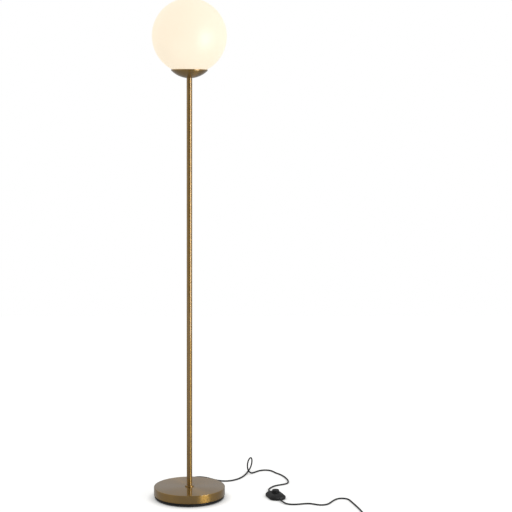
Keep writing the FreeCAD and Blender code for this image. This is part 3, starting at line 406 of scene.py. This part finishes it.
def makeGlobe():
    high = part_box("globe")[1]
    radius = high.x
    inside = radius - globe["wall"]
    centre = (0, high.z - radius)
    outer = arc(centre, radius, wallAngle(globe["opening"], radius), 90, globe["steps"])
    inner = arc(centre, inside, 90, wallAngle(globe["opening"], inside), globe["steps"])
    piece = turnedPiece("opalGlobe", outer + inner, steps=globe["around"])
    finishPiece(piece, "opal_glass", ["globe"], "globe")


cup = {
    "lip": 0.0042,  # height of the straight lip
    "lipBend": 0.0007,  # height of the bend into it
    "step": 0.0005,  # how far it stands out past the bowl
    "flat": 0.010,  # radius of the flat middle
    "wall": 0.0012,
    "edge": 0.0004,
    "hole": 0.0051,
    "steps": 40,
    "around": 128,
}


def makeCup():
    low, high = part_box("cup")
    rim, wall = high.x, cup["wall"]
    wallTop = rim - cup["step"]
    lipFoot = high.z - cup["lip"]
    rise = lipFoot - low.z
    up = (wallTop ** 2 - cup["flat"] ** 2 + rise ** 2) / (2 * rise)
    sphere = math.hypot(cup["flat"], up)
    centre = (0, low.z + up)
    edge = cup["edge"]
    outer = arc(centre, sphere, wallAngle(cup["flat"], sphere), wallAngle(wallTop, sphere), cup["steps"])
    inner = arc(centre, sphere - wall, wallAngle(wallTop - wall, sphere - wall),
                wallAngle(cup["flat"], sphere - wall), cup["steps"])
    lip = arc((rim - edge, lipFoot + cup["lipBend"]), edge, -60, 0, 3)
    lip += arc((rim - edge, high.z - edge), edge, 0, 90, 4)
    lip += arc((wallTop - wall + edge, high.z - edge), edge, 90, 180, 4)
    floor = inner[-1][1]
    outline = [(cup["hole"], low.z)] + outer + lip + inner + [(cup["hole"], floor)]
    finishPiece(turnedPiece("brassCup", outline, steps=cup["around"]), "brushed_brass", ["cup"])


# A thin ring in the cup's rim, its outer face sloped like the bowl
seat = {"outside": 0.0065, "soft": 0.0003, "slopeFoot": 0.0012, "slopeTop": 0.0010}


def makeSeat():
    low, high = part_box("globe_seat")
    inner = globe["opening"] + seat["outside"]
    soft = seat["soft"]
    outline = [(inner, low.z), (high.x - soft, high.z - seat["slopeFoot"]),
               (high.x, high.z - seat["slopeTop"])]
    outline += arc((high.x - soft, high.z - soft), soft, 0, 90, 3)
    outline += arc((inner + soft, high.z - soft), soft, 90, 180, 3)
    finishPiece(turnedPiece("globeSeatRing", outline), "silicone", ["globe_seat"])


makeGlobe()
makeCup()
makeSeat()
print("globe and cup made")


# Pole

pole = {"wall": 0.0012, "bevel": 0.00012, "around": 72}


def makePole():
    for name in ("lower", "middle", "upper"):
        low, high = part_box("pole_" + name)
        radius, bevel = high.x, pole["bevel"]
        inside = radius - pole["wall"]
        outline = [(inside, low.z), (radius - bevel, low.z), (radius, low.z + bevel),
                   (radius, high.z - bevel), (radius - bevel, high.z), (inside, high.z)]
        piece = turnedPiece("poleTube_" + name, outline, steps=pole["around"])
        finishPiece(piece, "brushed_brass", ["pole_" + name])


makePole()
print("pole made")


# Base

base = {
    "wall": 0.0012,
    "edge": 0.002,
    "hem": 0.0019,  # height of the turned hem
    "hemIn": 0.00055,  # how far inside the rim its round is centred
    "hemProud": 0.0002,  # how far it stands out past the wall
    "hemSlope": 0.0004,  # from its top to the straight wall
    "hole": 0.0051,
    "around": 192,
}


def makeBaseCover():
    low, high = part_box("base_cover")
    radius, wall, edge = high.x, base["wall"], base["edge"]
    hemMiddle = low.z + base["hem"] / 2
    hem = arc((radius - base["hemIn"], hemMiddle), base["hem"] / 2, -90, 90, 10)
    hem = [(min(x, radius), z) for x, z in hem]
    skirt = radius - base["hemProud"]
    outline = [(base["hole"], high.z - wall)]
    outline += arc((radius - edge, high.z - edge), edge - wall, 90, 0, 8)
    outline += [(radius - wall, low.z)] + hem + [(skirt, low.z + base["hem"] + base["hemSlope"])]
    outline += arc((skirt - edge, high.z - edge), edge, 0, 90, 8)
    outline += [(base["hole"], high.z)]
    piece = turnedPiece("brassBaseCover", outline, steps=base["around"])
    finishPiece(piece, "brushed_brass", ["base_cover"])


collar = {"edge": 0.0012, "bore": 0.009605, "boreEdge": 0.0004, "footBevel": 0.0003}


def makeCollar():
    low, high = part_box("foot_collar")
    edge, bore, boreEdge, bevel = (collar[part] for part in ("edge", "bore", "boreEdge", "footBevel"))
    outline = [(bore, low.z), (high.x - bevel, low.z), (high.x, low.z + bevel)]
    outline += arc((high.x - edge, high.z - edge), edge, 0, 90, 8)
    outline += arc((bore + boreEdge, high.z - boreEdge), boreEdge, 90, 180, 3)
    finishPiece(turnedPiece("brassCollar", outline), "brushed_brass", ["foot_collar"])


makeBaseCover()
makeCollar()
print("base made")


# Strain reliefs, one at the base and one on each end of the foot switch

relief = {
    "grooves": 5,
    "grooveDepth": 0.0006,
    "grooveHalf": 0.2,  # half a groove's floor, as a share of the step between grooves
    "slope": 0.0003,
    "tip": 0.003,  # radius of the taper's end
    "neckIn": 0.00045,  # the taper's start, in from the flange's rim
    "flangeEdge": 0.0004,
    "around": 48,
}
# A shank's radius and start, and a flange's radius, start and end, along the relief's own axis
baseRelief = {"shank": (0.0035, 0.1115), "flange": (0.00415, 0.12115, 0.1233)}
switch = {
    "middle": (0.298, -0.009, 0.0056),
    "turn": math.radians(-74),
    "shank": (0.0032, 0.034),
    "flange": (0.0038, 0.0423, 0.0441),
    "reliefEnd": 0.062,
    "travel": 0.0035,
}


def ribbedTaper(start, end, thick):
    # Soft rings along a taper, parted by grooves that let it bend
    points = [(thick, start)]
    step = (end - start) / (relief["grooves"] + 1)
    for i in range(1, relief["grooves"] + 1):
        middle = start + step * i
        radius = thick + (relief["tip"] - thick) * (middle - start) / (end - start)
        foot, half = radius - relief["grooveDepth"], step * relief["grooveHalf"]
        points += [(radius, middle - half - relief["slope"]), (foot, middle - half),
                   (foot, middle + half), (radius, middle + half + relief["slope"])]
    return points + [(relief["tip"], end)]


def makeRelief(name, node, shank, flange, end, base, axis):
    # The shank sits in the wall behind the flange
    (shankRadius, shankStart), (flangeRadius, flangeStart, flangeEnd) = shank, flange
    neck, edge = flangeRadius - relief["neckIn"], relief["flangeEdge"]
    outline = [(0, shankStart), (shankRadius, shankStart), (shankRadius, flangeStart),
               (flangeRadius, flangeStart), (flangeRadius, flangeEnd - edge),
               (flangeRadius - edge, flangeEnd)]
    outline += ribbedTaper(flangeEnd + edge, end, neck) + [(0, end)]
    piece = turnedPiece(name, outline, base, axis, (0, 0, 1), relief["around"])
    finishPiece(piece, "black_pvc", [node])


def makeReliefs():
    outlet = lampRoute[0]
    makeRelief("baseStrainRelief", "cord_strain_relief", baseRelief["shank"], baseRelief["flange"],
               outlet[1], (0, 0, outlet[2]), (0, 1, 0))
    for end, side in (("front", 1), ("rear", -1)):
        axis = (side * math.cos(switch["turn"]), side * math.sin(switch["turn"]), 0)
        makeRelief("switchStrainRelief_" + end, "switch_relief_" + end, switch["shank"],
                   switch["flange"], switch["reliefEnd"], switch["middle"], axis)


makeReliefs()
print("strain reliefs made")


def makeReturnSpring():
    # The spring under the switch button, which on the real switch shortens by the button's travel; here it
    # is copied and merged
    node = frame["nodes"]["switch_spring"]
    piece = bpy.data.objects.new("switchReturnSpring", node.data.copy())
    bpy.context.collection.objects.link(piece)
    selectOnly(piece)
    bpy.ops.object.mode_set(mode="EDIT")
    joinDoubles()
    bpy.ops.object.mode_set(mode="OBJECT")
    finishPiece(piece, "spring_steel", ["switch_spring"])
    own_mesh(piece)


makeReturnSpring()
print("return spring made")


# Pieces that keep their CAD shape get their finish

def dressNodes():
    slots = {part["node"]: part["material_slot"] for part in frame["record"]["subparts"]}
    for name, node in frame["nodes"].items():
        node.data.materials.clear()
        node.data.materials.append(finishes[slots[name]])
    for piece in (leadToSwitch, leadToPlug):
        piece.data.materials.append(finishes["black_pvc"])


dressNodes()

replacedHere = ("switch_relief_front", "switch_relief_rear", "switch_spring")
switchPieces = [name for name in frame["nodes"] if name.startswith("switch_") and name not in replacedHere]
switchPieces.append("switchReturnSpring")


# Floor, lights and world

studio = {
    "floorHalf": 4.0,
    "floorTone": "#E6E6E4",
    "floorLift": 0.6,  # what the floor adds to itself for the eye
    "skyLight": 0.55,
    "contact": 0.03,  # how near a piece has to be to shade that
    # How bright the studio looks in a reflection alone, in front of the object and behind it
    "floorFront": 0.8,
    "floorBack": 0.35,
    "floorSpan": (-1.2, 0.2),  # where along Y the floor goes from one to the other
    "roomFront": 0.24,
    "roomSide": 0.68,
    "roomBack": 0.46,
    "frontSpan": (-0.88, -0.5),  # and the room, by the Y part of the way one looks
    "backSpan": (0.5, 0.9),
}


def makeFloor():
    bpy.ops.mesh.primitive_plane_add(size=2 * studio["floorHalf"], location=(0, 0, 0))
    floor = bpy.context.object
    floor.name = "studioFloor"
    material = bpy.data.materials.new("paleFloor")
    material.use_nodes = True
    tree = material.node_tree
    tree.nodes.clear()
    seen, mirrored = seenRays(tree)
    lift = addNode(tree, "ShaderNodeMath", {0: seen, 1: studio["floorLift"]},
                   operation="MULTIPLY").outputs[0]
    # Ambient occlusion cuts the floor's lift near pieces: a painted contact shadow on the floor, added to
    # the real shadow in its diffuse part
    clear = addNode(tree, "ShaderNodeAmbientOcclusion", {"Distance": studio["contact"]}).outputs["AO"]
    strength = addNode(tree, "ShaderNodeMath", {0: lift, 1: clear}, operation="MULTIPLY").outputs[0]
    glow = addNode(tree, "ShaderNodeEmission", {"Strength": strength}).outputs[0]
    matt = addNode(tree, "ShaderNodeBsdfDiffuse", {"Color": linearColour(studio["floorTone"])}).outputs[0]
    both = addNode(tree, "ShaderNodeAddShader", {0: glow, 1: matt}).outputs[0]
    place = addNode(tree, "ShaderNodeTexCoord").outputs["Object"]
    dim = fromFrontToBack(tree, place, studio["floorSpan"], studio["floorFront"], studio["floorBack"])
    shine = addNode(tree, "ShaderNodeEmission", {"Strength": dim}).outputs[0]
    mix = addNode(tree, "ShaderNodeMixShader", {0: mirrored, 1: both, 2: shine}).outputs[0]
    addNode(tree, "ShaderNodeOutputMaterial", {"Surface": mix})
    floor.data.materials.append(material)


def seenRays(tree):
    # 1 for what the eye sees, also through clear glass, and 1 for what is seen in a reflection
    rays = addNode(tree, "ShaderNodeLightPath").outputs
    seen = addNode(tree, "ShaderNodeMath", {0: rays["Is Camera Ray"], 1: rays["Is Transmission Ray"]},
                   operation="MAXIMUM").outputs[0]
    return seen, rays["Is Glossy Ray"]


def fromFrontToBack(tree, way, span, front, back):
    depth = addNode(tree, "ShaderNodeSeparateXYZ", {0: way}).outputs[1]
    return addNode(tree, "ShaderNodeMapRange", {
        "Value": depth, "From Min": span[0], "From Max": span[1], "To Min": front, "To Max": back},
        interpolation_type="SMOOTHSTEP").outputs[0]


def makeWorld():
    # White for the eye, an even sky for light, and in reflections a room that is dim in front
    world = bpy.data.worlds.new("studioWorld")
    bpy.context.scene.world = world
    world.use_nodes = True
    tree = world.node_tree
    tree.nodes.clear()
    seen, mirrored = seenRays(tree)
    way = addNode(tree, "ShaderNodeTexCoord").outputs["Generated"]
    side = fromFrontToBack(tree, way, studio["frontSpan"], studio["roomFront"], studio["roomSide"])
    dimmer = fromFrontToBack(tree, way, studio["backSpan"], 0, studio["roomSide"] - studio["roomBack"])
    room = addNode(tree, "ShaderNodeMath", {0: side, 1: dimmer}, operation="SUBTRACT").outputs[0]
    unseen = addNode(tree, "ShaderNodeMix", {0: mirrored, 2: studio["skyLight"], 3: room}).outputs[0]
    strength = addNode(tree, "ShaderNodeMix", {0: seen, 2: unseen, 3: 1.0}).outputs[0]
    sky = addNode(tree, "ShaderNodeBackground", {"Color": (1, 1, 1, 1), "Strength": strength}).outputs[0]
    addNode(tree, "ShaderNodeOutputWorld", {"Surface": sky})


softbox = {
    "place": (2.25, -1.95, 1.02),
    "aim": (0, 0, 0.8),
    "size": (1.3, 2.0),
    "watts": 20,
    "mirrored": 5.4,  # what its bright cloth adds in reflections alone
}


def makeSoftbox():
    way = Vector(softbox["aim"]) - Vector(softbox["place"])
    turned = way.to_track_quat("-Z", "Y").to_euler()
    bpy.ops.object.light_add(type="AREA", location=softbox["place"], rotation=turned)
    lamp = bpy.context.object
    lamp.name = "softboxLamp"
    lamp.data.shape = "RECTANGLE"
    lamp.data.size, lamp.data.size_y = softbox["size"]
    lamp.data.energy = softbox["watts"]

    bpy.ops.mesh.primitive_plane_add(size=1, location=softbox["place"], rotation=turned)
    cloth = bpy.context.object
    cloth.name = "softboxCloth"
    cloth.scale = (*softbox["size"], 1)
    cloth.visible_camera = cloth.visible_diffuse = cloth.visible_shadow = cloth.visible_transmission = False
    material = bpy.data.materials.new("softboxCloth")
    material.use_nodes = True
    tree = material.node_tree
    tree.nodes.clear()
    glow = addNode(tree, "ShaderNodeEmission", {"Strength": softbox["mirrored"]}).outputs[0]
    addNode(tree, "ShaderNodeOutputMaterial", {"Surface": glow})
    cloth.data.materials.append(material)


makeFloor()
makeWorld()
makeSoftbox()
bpy.context.scene.view_settings.view_transform = "Standard"
print("studio made")

bpy.context.view_layer.update()
